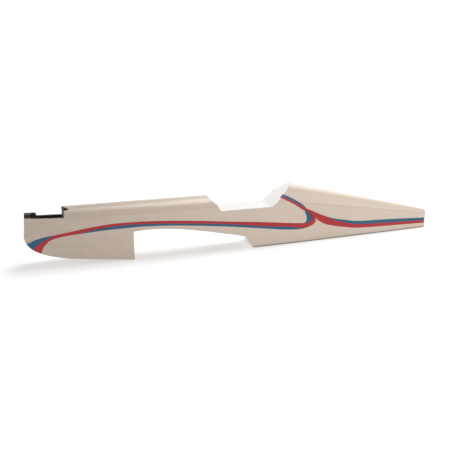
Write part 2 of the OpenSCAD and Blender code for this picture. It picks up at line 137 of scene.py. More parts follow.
@dataclass(frozen=True)
class BodyForm:
    """Outer form of the fuselage. Straight and cubic lines of the side view over a tapering plan."""

    length: float
    half_body: float
    half_nose: float
    firewall: float
    wing_front: float
    wing_rear: float
    belly_front: float
    seat_foot: float
    rim: float
    shoulder_front: float
    deck_top: float
    floor_top: float
    peak_top: float
    half_tail: float = 11.5
    nose_bend: float = 1.6        # exponents of the plan's two tapers
    tail_bend: float = 1.2
    full_from: float = 400.0
    taper_from: float = 600.0
    screen: float = 470.0
    peak: float = 700.0
    seat_shoulder: float = 130.5
    tail_shoulder: float = 46.0
    tail_top: float = 55.0
    sheet: float = 3.0
    deck_sheet: float = 2.0
    belly_sheet: float = 2.5
    nose_lean: float = 4.0        # how far the nose's front edge leans back at the rim
    lean_run: float = 30.0        # stretch behind the nose over which the lean dies out
    screen_run: float = 16.0      # how far the windscreen's edge would run aft on a straight slope
    screen_bulge: float = 2.8     # how far the windscreen's edge bows aft between its ends
    chin_steps: int = 36
    chin_curve: Line = ((0, 84), (2, 45), (45, 30), (110, 18))
    saddle_curve: Line = ((266, 75), (345, 84), (430, 66), (566, 34))
    crease_share: float = 0.62    # breadth of the turtledeck's stringer edge, as a share of the half width
    facet: float = 0.55           # how flat the turtledeck is below that edge, from 0 to 1

    @classmethod
    def from_frame(cls) -> "BodyForm":
        """Form whose main stations and heights are read from the frame's nodes."""
        low, high = CAD_BOX
        nose = low.x / MM
        return cls(
            length=(high.x - low.x) / MM,
            half_body=high.y / MM,
            half_nose=corner_mm("nose_ring", 1, Axis.Y),
            firewall=corner_mm("firewall", 0, Axis.X) - nose,
            wing_front=corner_mm("le_bulkhead", 1, Axis.X) - nose,
            wing_rear=corner_mm("saddle_rear_bulkhead", 0, Axis.X) - nose,
            belly_front=corner_mm("side_rear_port", 0, Axis.X) - nose,
            seat_foot=corner_mm("cockpit_floor", 1, Axis.X) - nose,
            rim=corner_mm("nose_ring", 1, Axis.Z),
            shoulder_front=corner_mm("front_longeron_port", 1, Axis.Z),
            deck_top=corner_mm("deck_sheet", 1, Axis.Z),
            floor_top=corner_mm("cockpit_floor", 1, Axis.Z),
            peak_top=high.z / MM,
        )

    def place(self, s: float, y: float, z: float) -> Vector:
        """Frame coordinates, in metres, of a station, breadth and height."""
        return Vector(((s - self.length / 2) * MM, y * MM, z * MM))

    def at(self, s: float) -> float:
        """Frame X, in metres, of a station."""
        return self.place(s, 0, 0).x

    @property
    def floor_under(self) -> float:
        """Height of the cockpit floor's underside."""
        return self.floor_top - self.deck_sheet

    @property
    def cut_top(self) -> float:
        """Height of the slanted cut's upper end."""
        return self.saddle_curve[-1][1]

    @property
    def shoulder_run(self) -> float:
        """Slope of the side sheets' upper edge under the turtledeck."""
        return (self.tail_shoulder - self.seat_shoulder) / (self.length - self.seat_foot)

    @property
    def crown_run(self) -> float:
        """Slope of the turtledeck's crown."""
        return (self.tail_top - self.peak_top) / (self.length - self.peak)

    def half_width(self, s: float) -> float:
        """Half the outside width of the body.

        Args:
            s: Station.

        Returns:
            The breadth from the centre line to the side sheet's outer face.
        """
        if s < self.full_from:
            share = 1 - s / self.full_from
            return self.half_body - (self.half_body - self.half_nose) * share**self.nose_bend
        if s > self.taper_from:
            share = (s - self.taper_from) / (self.length - self.taper_from)
            return self.half_body - (self.half_body - self.half_tail) * share**self.tail_bend
        return self.half_body

    def film_width(self, s: float) -> float:
        """Half the width of the covering's outer face at a station."""
        return self.half_width(s) + FILM_LIFT

    def is_rear(self, s: float) -> bool:
        """Whether a station belongs to the turtledeck, whose front end is the seat's foot."""
        return s > self.seat_foot - REAR_MARGIN

    def shoulder(self, s: float) -> float:
        """Height where the side sheet meets the deck."""
        if self.is_rear(s):
            share = (s - self.seat_foot) / (self.length - self.seat_foot)
            return between(self.seat_shoulder, self.tail_shoulder, share)
        return self.shoulder_front

    def crown(self, s: float) -> float:
        """Height of the deck or turtledeck on the centre line."""
        if self.is_rear(s):
            return between(self.peak_top, self.tail_top, (s - self.peak) / (self.length - self.peak))
        return self.deck_top

    def arch_power(self, s: float) -> float:
        """Exponent of the arch at a station."""
        return POINTED_ARCH if self.is_rear(s) else ROUND_ARCH

    def half_breadth(self, s: float, z: float, lift: float = FILM_LIFT) -> float:
        """Half the outside width of the body at a height.

        Args:
            s: Station.
            z: Height.
            lift: Distance outwards from the frame's outer surface.

        Returns:
            The breadth from the centre line to the surface.
        """
        w = self.half_width(s) + lift
        shoulder = self.shoulder(s)
        if z <= shoulder:
            return w
        rise = self.crown(s) + lift - shoulder
        share = min((z - shoulder) / rise, 1.0)
        curved = w * math.sqrt(max(0.0, 1 - share ** (2 / self.arch_power(s))))
        if not self.is_rear(s):
            return curved
        edge = math.sqrt(1 - self.crease_share**2) ** self.arch_power(s)
        if share >= edge:
            return curved
        flat = between(w, w * self.crease_share, share / edge)
        return between(curved, flat, self.facet)

    def rim_height(self, s: float) -> float:
        """Height of the side sheets' upper edge ahead of the windscreen."""
        share = (s - self.nose_lean) / (self.firewall - self.nose_lean)
        return between(self.rim, self.shoulder_front, min(max(share, 0.0), 1.0))

    def nose_shift(self, s: float, z: float) -> float:
        """How far a point near the nose is moved aft by the lean of the nose's front edge."""
        lip = self.chin_curve[0][1]
        height = max(0.0, (z - lip) / (self.rim - lip))
        return self.nose_lean * height * max(0.0, 1 - s / self.lean_run)

    def screen_at(self, z: float) -> float:
        """Station of the windscreen's edge at a height."""
        lean = (self.deck_top - self.shoulder_front) / self.screen_run
        bow = math.sin(math.pi * (self.deck_top - z) / (self.deck_top - self.floor_top + self.deck_sheet))
        return self.screen + (self.deck_top - z) / lean + self.screen_bulge * bow

    @property
    def seat_lean(self) -> float:
        """Slope of the seat back's front face."""
        return (self.peak_top - self.floor_top) / (self.peak - self.seat_foot)

    @property
    def seat_drop(self) -> float:
        """Height of the seat back's thickness, measured upright."""
        return self.deck_sheet * math.sqrt(1 + self.seat_lean**2)

    def seat_height(self, s: float, drop: float = 0.0) -> float:
        """Height of the seat back's face at a station, or a drop below it."""
        return self.floor_top + (s - self.seat_foot) * self.seat_lean - drop

    def cut_height(self, s: float) -> float:
        """Height of the slanted cut behind the wing at a station."""
        return self.cut_top - (s - self.wing_rear) * self.cut_top / (self.belly_front - self.wing_rear)

    def saddle_height(self, s: float) -> float:
        """Height of the wing saddle, found by halving the cubic's parameter.

        Args:
            s: Station between the wing's leading edge and the slanted cut.

        Returns:
            The height.
        """
        low, high = 0.0, 1.0
        for _ in range(40):
            middle = (low + high) / 2
            if cubic(self.saddle_curve, middle)[0] < s:
                low = middle
            else:
                high = middle
        return cubic(self.saddle_curve, low)[1]

    def chin_line(self, inset: float) -> list[Pair]:
        """Side view of the chin from the nose's lip to the wing.

        Args:
            inset: Distance inwards from the outer line.

        Returns:
            Points as (station, height).
        """
        outer = [cubic(self.chin_curve, i / self.chin_steps) for i in range(self.chin_steps + 1)]
        last = outer[-1]
        outer += [(s, between(last[1], 0, (s - last[0]) / (self.wing_front - last[0])))
                  for s in spread(last[0], self.wing_front, 7)[1:]]
        line = []
        for i, (s, z) in enumerate(outer):
            before, after = outer[max(i - 1, 0)], outer[min(i + 1, len(outer) - 1)]
            run = Vector((after[0] - before[0], after[1] - before[1])).normalized()
            line.append((min(s - run.y * inset, self.wing_front), z + run.x * inset))
        return line


# ---- finishes


class NodeBoard:
    """Node tree of one material, with short calls for the nodes that the finishes share."""

    def __init__(self, name: str) -> None:
        """Starts a material that holds a principled shader.

        Args:
            name: Material's name.
        """
        self.material = bpy.data.materials.new(name)
        self.material.use_nodes = True
        self.tree = self.material.node_tree
        self.shader = next(n for n in self.tree.nodes if n.type == "BSDF_PRINCIPLED")
        self.place = self.make("ShaderNodeTexCoord", {}, "Object")

    def feed(self, node: bpy.types.Node, values: dict[str | int, object]) -> None:
        """Sets or links a node's inputs.

        Args:
            node: Node to feed.
            values: A socket to link, or a constant, for each input.
        """
        for key, value in values.items():
            if isinstance(value, Socket):
                self.tree.links.new(value, node.inputs[key])
            else:
                node.inputs[key].default_value = value

    def make(self, kind: str, values: dict[str | int, object], output: str | int = 0,
             **settings: object) -> Socket:
        """Makes a node, sets its properties and feeds it.

        Args:
            kind: Node's type.
            values: A socket to link, or a constant, for each input.
            output: The output that is wanted.
            settings: Values of the node's properties.

        Returns:
            The output.
        """
        node = self.tree.nodes.new(kind)
        for key, value in settings.items():
            setattr(node, key, value)
        self.feed(node, values)
        return node.outputs[output]

    def noise(self, scale: float | Sequence[float], detail: float) -> Socket:
        """Cloudy pattern.

        Args:
            scale: One scale, or one along each axis.
            detail: How many finer patterns are added to it.

        Returns:
            Values from 0 to 1.
        """
        where, even = self.place, scale
        if isinstance(scale, Sequence):
            where, even = self.make("ShaderNodeMapping", {"Vector": self.place, "Scale": scale}), 1.0
        return self.make("ShaderNodeTexNoise", {"Vector": where, "Scale": even, "Detail": detail})

    def ramp(self, value: Socket, start: float, end: float, low: float = 0.0, high: float = 1.0) -> Socket:
        """Value mapped from start..end to low..high, and held at the ends."""
        return self.make("ShaderNodeMapRange", {0: value, 1: start, 2: end, 3: low, 4: high})

    def math(self, operation: str, a: object, b: object = 0.0) -> Socket:
        """Result of a sum on one or two values."""
        return self.make("ShaderNodeMath", {0: a, 1: b}, operation=operation)

    def mix(self, share: object, a: object, b: object) -> Socket:
        """Colour a share of the way from a to b."""
        return self.make("ShaderNodeMix", {"Factor": share, 6: a, 7: b}, 2, data_type="RGBA")

    def part(self, vector: Socket, axis: Axis) -> Socket:
        """One coordinate of a vector."""
        return self.make("ShaderNodeSeparateXYZ", {0: vector}, axis.value)

    def facing(self, axis: Axis) -> Socket:
        """How squarely the surface faces along an axis, from 0 to 1."""
        return self.math("ABSOLUTE", self.part(self.make("ShaderNodeNewGeometry", {}, "Normal"), axis))

    def relief(self, layers: Sequence[tuple[Socket, float]]) -> None:
        """Gives the shader a surface relief.

        Args:
            layers: Height patterns from 0 to 1, each with its depth in millimetres.
        """
        under = {}
        for height, depth in layers:
            bump = self.make("ShaderNodeBump", {"Height": height, "Distance": depth * MM, **under})
            under = {"Normal": bump}
        self.feed(self.shader, under)


def rgba(colour: Sequence[float], gain: float = 1.0) -> tuple[float, float, float, float]:
    """Linear colour with full alpha, made lighter or darker by a gain."""
    return (*(min(c * gain, 1.0) for c in colour), 1.0)


@dataclass(frozen=True)
class Film:
    """Heat-shrunk gloss film over wood: faint waves, grain showing through, dust specks and handling haze.
    Where its stain setting is above zero, the front half also darkens towards the nose, partly an oily exhaust
    stain and partly painted shade, and a painted contact shadow runs along the lower edge.
    """

    name: str
    colour: Colour
    roughness: float = 0.34
    coat: float = 0.05
    shine: float = 0.5
    grain_show: float = 0.03
    # strength of the darkening towards the nose, partly an oily exhaust stain and partly painted shade; above
    # zero it also turns on the painted contact shadow
    oil_and_painted_shade: float = 0.0

    def build(self) -> bpy.types.Material:
        """Makes the material."""
        board = NodeBoard(self.name)
        broad = board.noise(9, 4)
        grain = board.noise((9, 260, 260), 4)
        specks = board.noise(1300, 2)
        haze = board.noise((22, 55, 55), 5)
        tone = board.mix(board.ramp(broad, 0.35, 0.65), rgba(self.colour, 0.985), rgba(self.colour, 1.015))
        tone = board.mix(board.ramp(grain, 0.42, 0.7, 0, self.grain_show), tone, rgba(self.colour, 0.7))
        tone = board.mix(board.ramp(specks, 0.71, 0.76, 0, 0.22), tone, rgba(self.colour, 0.45))
        if self.oil_and_painted_shade:
            # Front half darker towards the nose: partly an oily exhaust stain near the engine, partly painted
            # shade where less light reaches.
            aft = board.part(board.place, Axis.X)
            nose_stain_and_shade = board.ramp(aft, -0.57, -0.05, self.oil_and_painted_shade, 0.0)
            stain = board.math("MULTIPLY", nose_stain_and_shade, board.ramp(haze, 0.3, 0.7, 0.55, 1.0))
            tone = board.mix(stain, tone, rgba(self.colour, 0.55))
            # Painted contact shadow: a dark band within about 4 mm of the underside, full below 2.6 mm, faint
            # in the front half and strong in the rear half.
            low = board.ramp(board.part(board.place, Axis.Z), 0.0026, 0.0042, 1.0, 0.0)
            painted_contact_shadow = board.math("MULTIPLY", low, board.ramp(aft, -0.05, 0.05, 0.2, 0.9))
            tone = board.mix(painted_contact_shadow, tone, rgba(self.colour, 0.16))
        gloss = board.ramp(haze, 0.35, 0.75, self.roughness, self.roughness + 0.08)
        board.feed(board.shader, {"Base Color": tone, "Roughness": gloss, "IOR": 1.5, "Coat Roughness": 0.14,
                                  "Coat Weight": self.coat, "Specular IOR Level": self.shine})
        bubbles = board.noise(420, 1)
        board.relief([(broad, 0.12), (haze, 0.03), (grain, 0.035), (board.ramp(bubbles, 0.66, 0.8), 0.05)])
        return board.material


@dataclass(frozen=True)
class Ply:
    """Plywood: straight face grain on its two faces and thin dark and light layers on its edges."""

    name: str
    across: Axis
    light: Colour = (0.56, 0.38, 0.20)
    dark: Colour = (0.33, 0.19, 0.08)
    layer: float = 1.0

    def build(self) -> bpy.types.Material:
        """Makes the material."""
        board = NodeBoard(self.name)
        grain_scale = {Axis.X: (300, 300, 18), Axis.Y: (18, 300, 300), Axis.Z: (18, 300, 300)}[self.across]
        grain = board.noise(grain_scale, 5)
        figure = board.noise([g / 6 for g in grain_scale], 3)
        face = board.mix(board.ramp(grain, 0.35, 0.7, 0, 0.45), rgba(self.light), rgba(self.dark))
        face = board.mix(board.ramp(figure, 0.4, 0.7, 0, 0.3), face, rgba(self.light, 1.2))
        depth = board.part(board.place, self.across)
        turns = board.math("MULTIPLY", depth, 1 / (2 * self.layer * MM))
        stripe = board.ramp(board.math("PINGPONG", turns, 0.5), 0.22, 0.28)
        edge = board.mix(stripe, rgba(self.light, 1.1), rgba(self.dark, 0.75))
        on_face = board.ramp(board.facing(self.across), 0.5, 0.7)
        board.feed(board.shader, {"Base Color": board.mix(on_face, edge, face), "IOR": 1.45,
                                  "Roughness": board.ramp(grain, 0.3, 0.7, 0.62, 0.8)})
        board.relief([(grain, 0.06), (stripe, 0.04)])
        return board.material


@dataclass(frozen=True)
class Timber:
    """Bare solid wood: long grain, pores and short flecks."""

    name: str
    light: Colour
    dark: Colour
    along: Axis = Axis.X
    streaks: float = 240.0
    flecks: float = 0.3

    def build(self) -> bpy.types.Material:
        """Makes the material."""
        board = NodeBoard(self.name)
        scale = [self.streaks] * 3
        scale[self.along.value] = self.streaks / 24
        grain = board.noise(scale, 5)
        bands = board.noise([v / 9 for v in scale], 3)
        fleck = board.noise([v * 4 for v in scale], 1)
        tone = board.mix(board.ramp(grain, 0.35, 0.7, 0, 0.6), rgba(self.light), rgba(self.dark))
        tone = board.mix(board.ramp(bands, 0.35, 0.65, 0, 0.3), tone, rgba(self.light, 1.15))
        tone = board.mix(board.ramp(fleck, 0.62, 0.7, 0, self.flecks), tone, rgba(self.dark, 0.8))
        board.feed(board.shader, {"Base Color": tone, "IOR": 1.45,
                                  "Roughness": board.ramp(grain, 0.3, 0.7, 0.6, 0.85)})
        board.relief([(grain, 0.09), (fleck, 0.04)])
        return board.material


@dataclass(frozen=True)
class FuelProofer:
    """Dark resin brushed over plywood: uneven stain, brush lines, runs and a patchy shine."""

    name: str
    thin: Colour = (0.056, 0.036, 0.023)
    thick: Colour = (0.014, 0.010, 0.009)

    def build(self) -> bpy.types.Material:
        """Makes the material."""
        board = NodeBoard(self.name)
        pools = board.noise(38, 5)
        brush = board.noise((30, 320, 320), 4)
        runs = board.noise((120, 120, 14), 3)
        tone = board.mix(board.ramp(pools, 0.35, 0.68), rgba(self.thin), rgba(self.thick))
        tone = board.mix(board.ramp(brush, 0.45, 0.75, 0, 0.5), tone, rgba(self.thin, 1.5))
        board.feed(board.shader, {"Base Color": tone, "IOR": 1.52, "Coat Weight": 0.2, "Coat Roughness": 0.2,
                                  "Roughness": board.ramp(pools, 0.3, 0.7, 0.5, 0.28)})
        board.relief([(pools, 0.3), (brush, 0.06), (runs, 0.15)])
        return board.material


@dataclass(frozen=True)
class ZincPlate:
    """Zinc-plated steel: pale metal with cloudy passivation and fine scratches."""

    name: str

    def build(self) -> bpy.types.Material:
        """Makes the material."""
        board = NodeBoard(self.name)
        clouds = board.noise(300, 4)
        scratches = board.noise((2600, 2600, 260), 2)
        tone = board.mix(board.ramp(clouds, 0.35, 0.65), rgba((0.62, 0.62, 0.60)), rgba((0.46, 0.47, 0.50)))
        board.feed(board.shader, {"Base Color": tone, "Metallic": 1.0,
                                  "Roughness": board.ramp(clouds, 0.3, 0.7, 0.26, 0.46)})
        board.relief([(scratches, 0.015)])
        return board.material


@dataclass(frozen=True)
class Nylon:
    """Extruded nylon tube: milky and slightly waxy."""

    name: str
    colour: Colour = (0.74, 0.70, 0.56)

    def build(self) -> bpy.types.Material:
        """Makes the material."""
        board = NodeBoard(self.name)
        cloud = board.noise((20, 400, 400), 3)
        tone = board.mix(board.ramp(cloud, 0.35, 0.65), rgba(self.colour, 0.93), rgba(self.colour, 1.05))
        board.feed(board.shader, {"Base Color": tone, "Roughness": board.ramp(cloud, 0.3, 0.7, 0.34, 0.5),
                                  "Subsurface Weight": 0.2, "Subsurface Scale": 0.002, "IOR": 1.53})
        board.relief([(cloud, 0.02)])
        return board.material


class Finish(Enum):
    """Finishes of the fuselage; each value builds its material."""

    # The cream films darken towards the nose, partly as an oily exhaust stain and partly as painted shade, and
    # carry a painted contact shadow along the lower edge.
    CREAM = Film("cream_film", (0.51, 0.423, 0.348), oil_and_painted_shade=0.6)
    CREAM_LAP = Film("cream_film_lap", (0.48, 0.395, 0.32), oil_and_painted_shade=0.6)
    WHITE = Film("white_film", (0.80, 0.775, 0.755), grain_show=0.0)
    # darker copy of the white film: painted shade for the cockpit floor, which lies low between the sides and
    # the seat back
    WHITE_PAINTED_SHADE = Film("white_film_painted_shade", (0.64, 0.615, 0.60), grain_show=0.0)
    RED = Film("red_trim_film", (0.34, 0.018, 0.024), roughness=0.3, coat=0.0, shine=0.28)
    BLUE = Film("blue_trim_film", (0.014, 0.082, 0.150), roughness=0.3, coat=0.0, shine=0.28)
    PROOFED = FuelProofer("fuel_proofer")
    PLY_X = Ply("birch_ply_upright", Axis.X)
    PLY_Y = Ply("birch_ply_fore_and_aft", Axis.Y)
    PLY_Z = Ply("birch_ply_level", Axis.Z)
    BALSA = Timber("bare_balsa", (0.67, 0.52, 0.35), (0.50, 0.34, 0.20), streaks=200, flecks=0.35)
    SPRUCE = Timber("bare_spruce", (0.60, 0.42, 0.23), (0.40, 0.24, 0.11), streaks=420, flecks=0.1)
    ZINC = ZincPlate("zinc_plate")
    NYLON = Nylon("nylon_tube")


class SheetFace(IntEnum):
    """Material numbers on a covered sheet."""

    FILM = 0
    BARE = 1
    PROOFED = 2


SHEET = (Finish.CREAM, Finish.BALSA)
BAY_SHEET = (*SHEET, Finish.PROOFED)


def linked(name: str, data: bpy.types.ID) -> bpy.types.Object:
    """New object of the scene."""
    made = bpy.data.objects.new(name, data)
    bpy.context.scene.collection.objects.link(made)
    return made


def solid(bm: Mesh, name: str, materials: Sequence[bpy.types.Material]) -> bpy.types.Object:
    """Turns a mesh into an object of the scene.

    Args:
        bm: Mesh, which is freed.
        name: Object's name.
        materials: Materials, in the order of the faces' numbers.

    Returns:
        The object.
    """
    mesh = bpy.data.meshes.new(name)
    bm.to_mesh(mesh)
    bm.free()
    for material in materials:
        mesh.materials.append(material)
    return linked(name, mesh)


class Workshop:
    """Builds each finish once, and turns finished meshes into pieces of the fuselage."""

    def __init__(self) -> None:
        """Builds all the materials."""
        self.materials = {finish: finish.value.build() for finish in Finish}

    def piece(self, bm: Mesh, name: str, finishes: Sequence[Finish], *stands_for: str) -> bpy.types.Object:
        """Makes a piece that rides on the body.

        Args:
            bm: Mesh, which is freed.
            name: Piece's name.
            finishes: Finishes, in the order of the faces' numbers.
            stands_for: Frame nodes that the piece is shown in place of.

        Returns:
            The piece.
        """
        mark_edges(bm)
        made = solid(bm, name, [self.materials[finish] for finish in finishes])
        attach(made, "root")
        if stands_for:
            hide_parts(*stands_for)
        log.info("%s: %d faces", name, len(made.data.polygons))
        return made

    def dress(self, node: str, finish: Finish, edge: float) -> None:
        """Gives a frame node its finish and lightly broken edges.

        Args:
            node: Frame node.
            finish: Finish for all of it.
            edge: Width of the broken edges, or 0 for none.
        """
        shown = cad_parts[node]
        shown.data.materials.clear()
        shown.data.materials.append(self.materials[finish])
        if edge:
            weld = shown.modifiers.new("weld", "WELD")
            weld.merge_threshold = WELD
            bevel = shown.modifiers.new("broken_edges", "BEVEL")
            bevel.width = edge * MM
            bevel.segments = 2
            bevel.limit_method = "ANGLE"
            bevel.angle_limit = BEVEL_FROM
        log.info("%s: %s", node, finish.name.lower())


# ---- mesh making


def swept(rows: int, around: int, point: Point, paint: Paint, cap: int = 0) -> Mesh:
    """Closed solid whose sections follow each other along a run.

    Args:
        rows: Number of steps along the run.
        around: Number of points of each section.
        point: Place of point j of section i.
        paint: Material number of the face between sections i and i + 1, after point j.
        cap: Material number of the two ends.

    Returns:
        The solid's mesh, with its faces outwards.
    """
    bm = bmesh.new()
    bmesh.ops.create_grid(bm, x_segments=rows, y_segments=around, size=1.0)
    reach = max(v.co.x for v in bm.verts)

    def cell(at: Vector) -> Pair:
        """Row and column of a place on the flat grid."""
        return (at.x / reach + 1) / 2 * rows, (at.y / reach + 1) / 2 * around

    for face in bm.faces:
        i, j = cell(face.calc_center_median())
        face.material_index = paint(int(i), int(j))
        face.smooth = True
    for vert in bm.verts:
        i, j = cell(vert.co)
        vert.co = point(round(i), round(j) % around)
    bmesh.ops.remove_doubles(bm, verts=bm.verts, dist=MERGE)
    bmesh.ops.dissolve_degenerate(bm, edges=bm.edges, dist=MERGE)
    walls = set(bm.faces)
    bmesh.ops.holes_fill(bm, edges=[e for e in bm.edges if e.is_boundary], sides=0)
    for face in bm.faces:
        if face not in walls:
            face.material_index = cap
            face.smooth = False
    bmesh.ops.recalc_face_normals(bm, faces=bm.faces)
    return bm


def shell(rows: int, columns: int, place: FacePoint, inner: int = 0, lead: int = 0) -> Mesh:
    """Closed sheet with an outer and an inner face.

    Args:
        rows: Number of steps along it.
        columns: Number of steps across it.
        place: Place at a step, for a share across from 0 to 1, on the outer face or the inner one.
        inner: Material number of the inner face.
        lead: Material number of the first row and of both ends, if they have one of their own.

    Returns:
        The sheet's mesh.
    """
    around = 2 * (columns + 1)

    def point(i: int, j: int) -> Vector:
        """Outer face one way, then inner face back."""
        outside = j <= columns
        return place(i, (j if outside else around - 1 - j) / columns, outside)

    def paint(i: int, j: int) -> int:
        """Number of the first row, of the inner face, or of the outer face and the edges."""
        if lead and i == 0:
            return lead
        return inner if columns < j < around - 1 else 0

    return swept(rows, around, point, paint, lead)


def soften(bm: Mesh, width: float, where: Callable[[Vector], bool]) -> None:
    """Rounds a solid's sharp edges.

    Args:
        bm: Solid's mesh.
        width: Width of the rounding.
        where: Says of an edge's middle, in metres, whether that edge is rounded.
    """
    edges = [e for e in bm.edges
             if len(e.link_faces) == 2 and e.calc_face_angle(0) > SHARP
             and where((e.verts[0].co + e.verts[1].co) / 2)]
    made = bmesh.ops.bevel(bm, geom=edges, offset=width * MM, offset_type="OFFSET", segments=3,
                           profile=0.5, affect="EDGES", clamp_overlap=True, material=-1)
    for face in made["faces"]:
        face.smooth = True


def mark_edges(bm: Mesh) -> None:
    """Marks a mesh's sharp edges, so that only gentle turns are shaded smooth."""
    bm.normal_update()
    for edge in bm.edges:
        edge.smooth = len(edge.link_faces) == 2 and edge.calc_face_angle(0) < SHARP


def prism(outline: Sequence[Vector], run: Vector) -> Mesh:
    """Solid made by pushing a flat outline along a run.

    Args:
        outline: Corners, in metres.
        run: Direction and length of the push, in metres.

    Returns:
        The solid's mesh, with its faces outwards.
    """
    bm = bmesh.new()
    bottom = bm.faces.new([bm.verts.new(p) for p in outline])
    pushed = bmesh.ops.extrude_face_region(bm, geom=[bottom])
    bmesh.ops.translate(bm, vec=run, verts=[g for g in pushed["geom"] if isinstance(g, bmesh.types.BMVert)])
    bmesh.ops.recalc_face_normals(bm, faces=bm.faces)
    return bm


def cut_away(piece: bpy.types.Object, cutter: Mesh, paint: int) -> None:
    """Cuts a solid out of a piece, for good.

    Args:
        piece: Piece to cut.
        cutter: Solid to take away, which is freed.
        paint: Material number of the cut faces.
    """
    for face in cutter.faces:
        face.material_index = paint
    tool = solid(cutter, "cutter", piece.data.materials)
    modifier = piece.modifiers.new("cut", "BOOLEAN")
    modifier.operation = "DIFFERENCE"
    modifier.solver = "EXACT"
    modifier.object = tool
    bpy.context.view_layer.update()
    graph = bpy.context.evaluated_depsgraph_get()
    whole = piece.data
    piece.data = bpy.data.meshes.new_from_object(piece.evaluated_get(graph))
    piece.data.name = whole.name
    piece.modifiers.clear()
    bpy.data.objects.remove(tool)
    bpy.data.meshes.remove(whole)
    bm = bmesh.new()
    bm.from_mesh(piece.data)
    mark_edges(bm)
    bm.to_mesh(piece.data)
    bm.free()


# ---- side sheets


@dataclass(frozen=True)
class SideSheets:
    """The three side sheets of each side, with film outside and bare balsa inside."""

    form: BodyForm
    shop: Workshop
    columns: int = 10
    edge: float = 0.7
    step: float = 7.0
    sill_step: float = 2.0
    lip: float = 0.2          # how far the film stands behind the nose ring's front face
    second: float = 1.6       # station of the sheet's second row, so that its front edge stays crisp
    rim_over: float = 122.0   # heights that tell the bay's rim, and the edges round the wing, from the rest
    wing_under: float = 74.0
    saddle_under: float = 100.0
    muffler_cut: Line = ((30, 136), (34, 120.5), (95, 118), (95, 136))

    def sheet(self, side: Side, lines: Sequence[tuple[float, float, float]]) -> Mesh:
        """One side sheet between a lower and an upper line.

        Args:
            side: Side of the fuselage.
            lines: (station, lower height, upper height) along the sheet.

        Returns:
            The sheet's mesh.
        """
        form = self.form

        def place(i: int, share: float, outside: bool) -> Vector:
            """From the lower line up to the upper one."""
            s, low, high = lines[i]
            breadth = form.film_width(s) - (0.0 if outside else form.sheet)
            z = between(low, high, share)
            return form.place(s + form.nose_shift(s, z), side.value * breadth, z)

        return shell(len(lines) - 1, self.columns, place, SheetFace.BARE)

    def front(self, side: Side) -> None:
        """Sheet of the engine and tank bays, down to the chin.

        Args:
            side: Side of the fuselage.
        """
        form = self.form
        chin = form.chin_line(form.sheet)
        rows = [(self.lip, chin[0][1]), (self.second, chin[0][1]), *chin]
        bm = self.sheet(side, [(s, z, form.rim_height(s)) for s, z in rows])

        def is_free(at: Vector) -> bool:
            """Rim of the bay, upright nose edge and upright edge at the wing."""
            on_rim = at.x < form.at(form.firewall - 1) and at.z > self.rim_over * MM
            at_nose = at.x < form.at(0.5 + form.nose_shift(0, at.z / MM))
            at_wing = at.x > form.at(form.wing_front - 0.5) and at.z < self.wing_under * MM
            return on_rim or at_nose or at_wing

        soften(bm, self.edge, is_free)
        node = f"side_front_{side.word}"
        made = self.shop.piece(bm, f"covered_{node}", BAY_SHEET, node)
        if side is Side.STARBOARD:
            outline = [form.place(s, 0, z) for s, z in self.muffler_cut]
            cut_away(made, prism(outline, Vector((0, form.half_body * 2 * MM, 0))), SheetFace.PROOFED)

    def centre(self, side: Side) -> None:
        """Sheet over the wing, arched at the saddle and dropped at the cockpit.

        Args:
            side: Side of the fuselage.
        """
        form = self.form
        floor = form.floor_under
        sill_front, sill_rear = form.screen_at(form.shoulder_front), form.screen_at(floor)
        foot = between(form.wing_rear, form.belly_front, 1 - form.belly_sheet / form.cut_top)
        upper = [(s, form.shoulder_front) for s in spread(form.wing_front, sill_front, self.step)[:-1]]
        upper += [(form.screen_at(z), z) for z in spread(form.shoulder_front, floor, self.sill_step)]
        rest = {*spread(sill_rear, form.wing_rear, self.step)[1:], *spread(form.wing_rear, foot, self.step),
                form.belly_front}
        upper += [(s, floor) for s in sorted(rest)]
        lines = []
        for s, high in upper:
            low = form.saddle_height(s) if s < form.wing_rear else max(form.cut_height(s), form.belly_sheet)
            lines.append((s, low, high))
        bm = self.sheet(side, lines)

        def is_free(at: Vector) -> bool:
            """Saddle, slanted cut and windscreen edge."""
            low = at.z < self.saddle_under * MM and form.at(form.wing_front + 1) < at.x < form.at(foot)
            return low or form.at(sill_front) < at.x < form.at(sill_rear)

        soften(bm, self.edge, is_free)
        node = f"side_centre_{side.word}"
        self.shop.piece(bm, f"covered_{node}", SHEET, node)

    def rear(self, side: Side) -> None:
        """Sheet from the cockpit to the tail post, under the turtledeck.

        Args:
            side: Side of the fuselage.
        """
        form = self.form
        foot = form.seat_foot + (form.seat_drop - form.deck_sheet) / form.seat_lean
        rise = form.seat_shoulder - form.floor_top + form.seat_drop
        meets = form.seat_foot + rise / (form.seat_lean - form.shoulder_run)
        stations = sorted({*spread(form.belly_front, foot, self.step), *spread(foot, meets, self.step),
                           *spread(meets, form.length, self.step)})
        lines = []
        for s in stations:
            high = form.floor_under if s <= foot else form.seat_height(s, form.seat_drop)
            lines.append((s, form.belly_sheet, high if s < meets else form.shoulder(s)))
        node = f"side_rear_{side.word}"
        self.shop.piece(self.sheet(side, lines), f"covered_{node}", SHEET, node)

    def build(self) -> None:
        """Makes the sheets of both sides."""
        for side in Side:
            self.front(side)
            self.centre(side)
            self.rear(side)


# ---- chin and belly


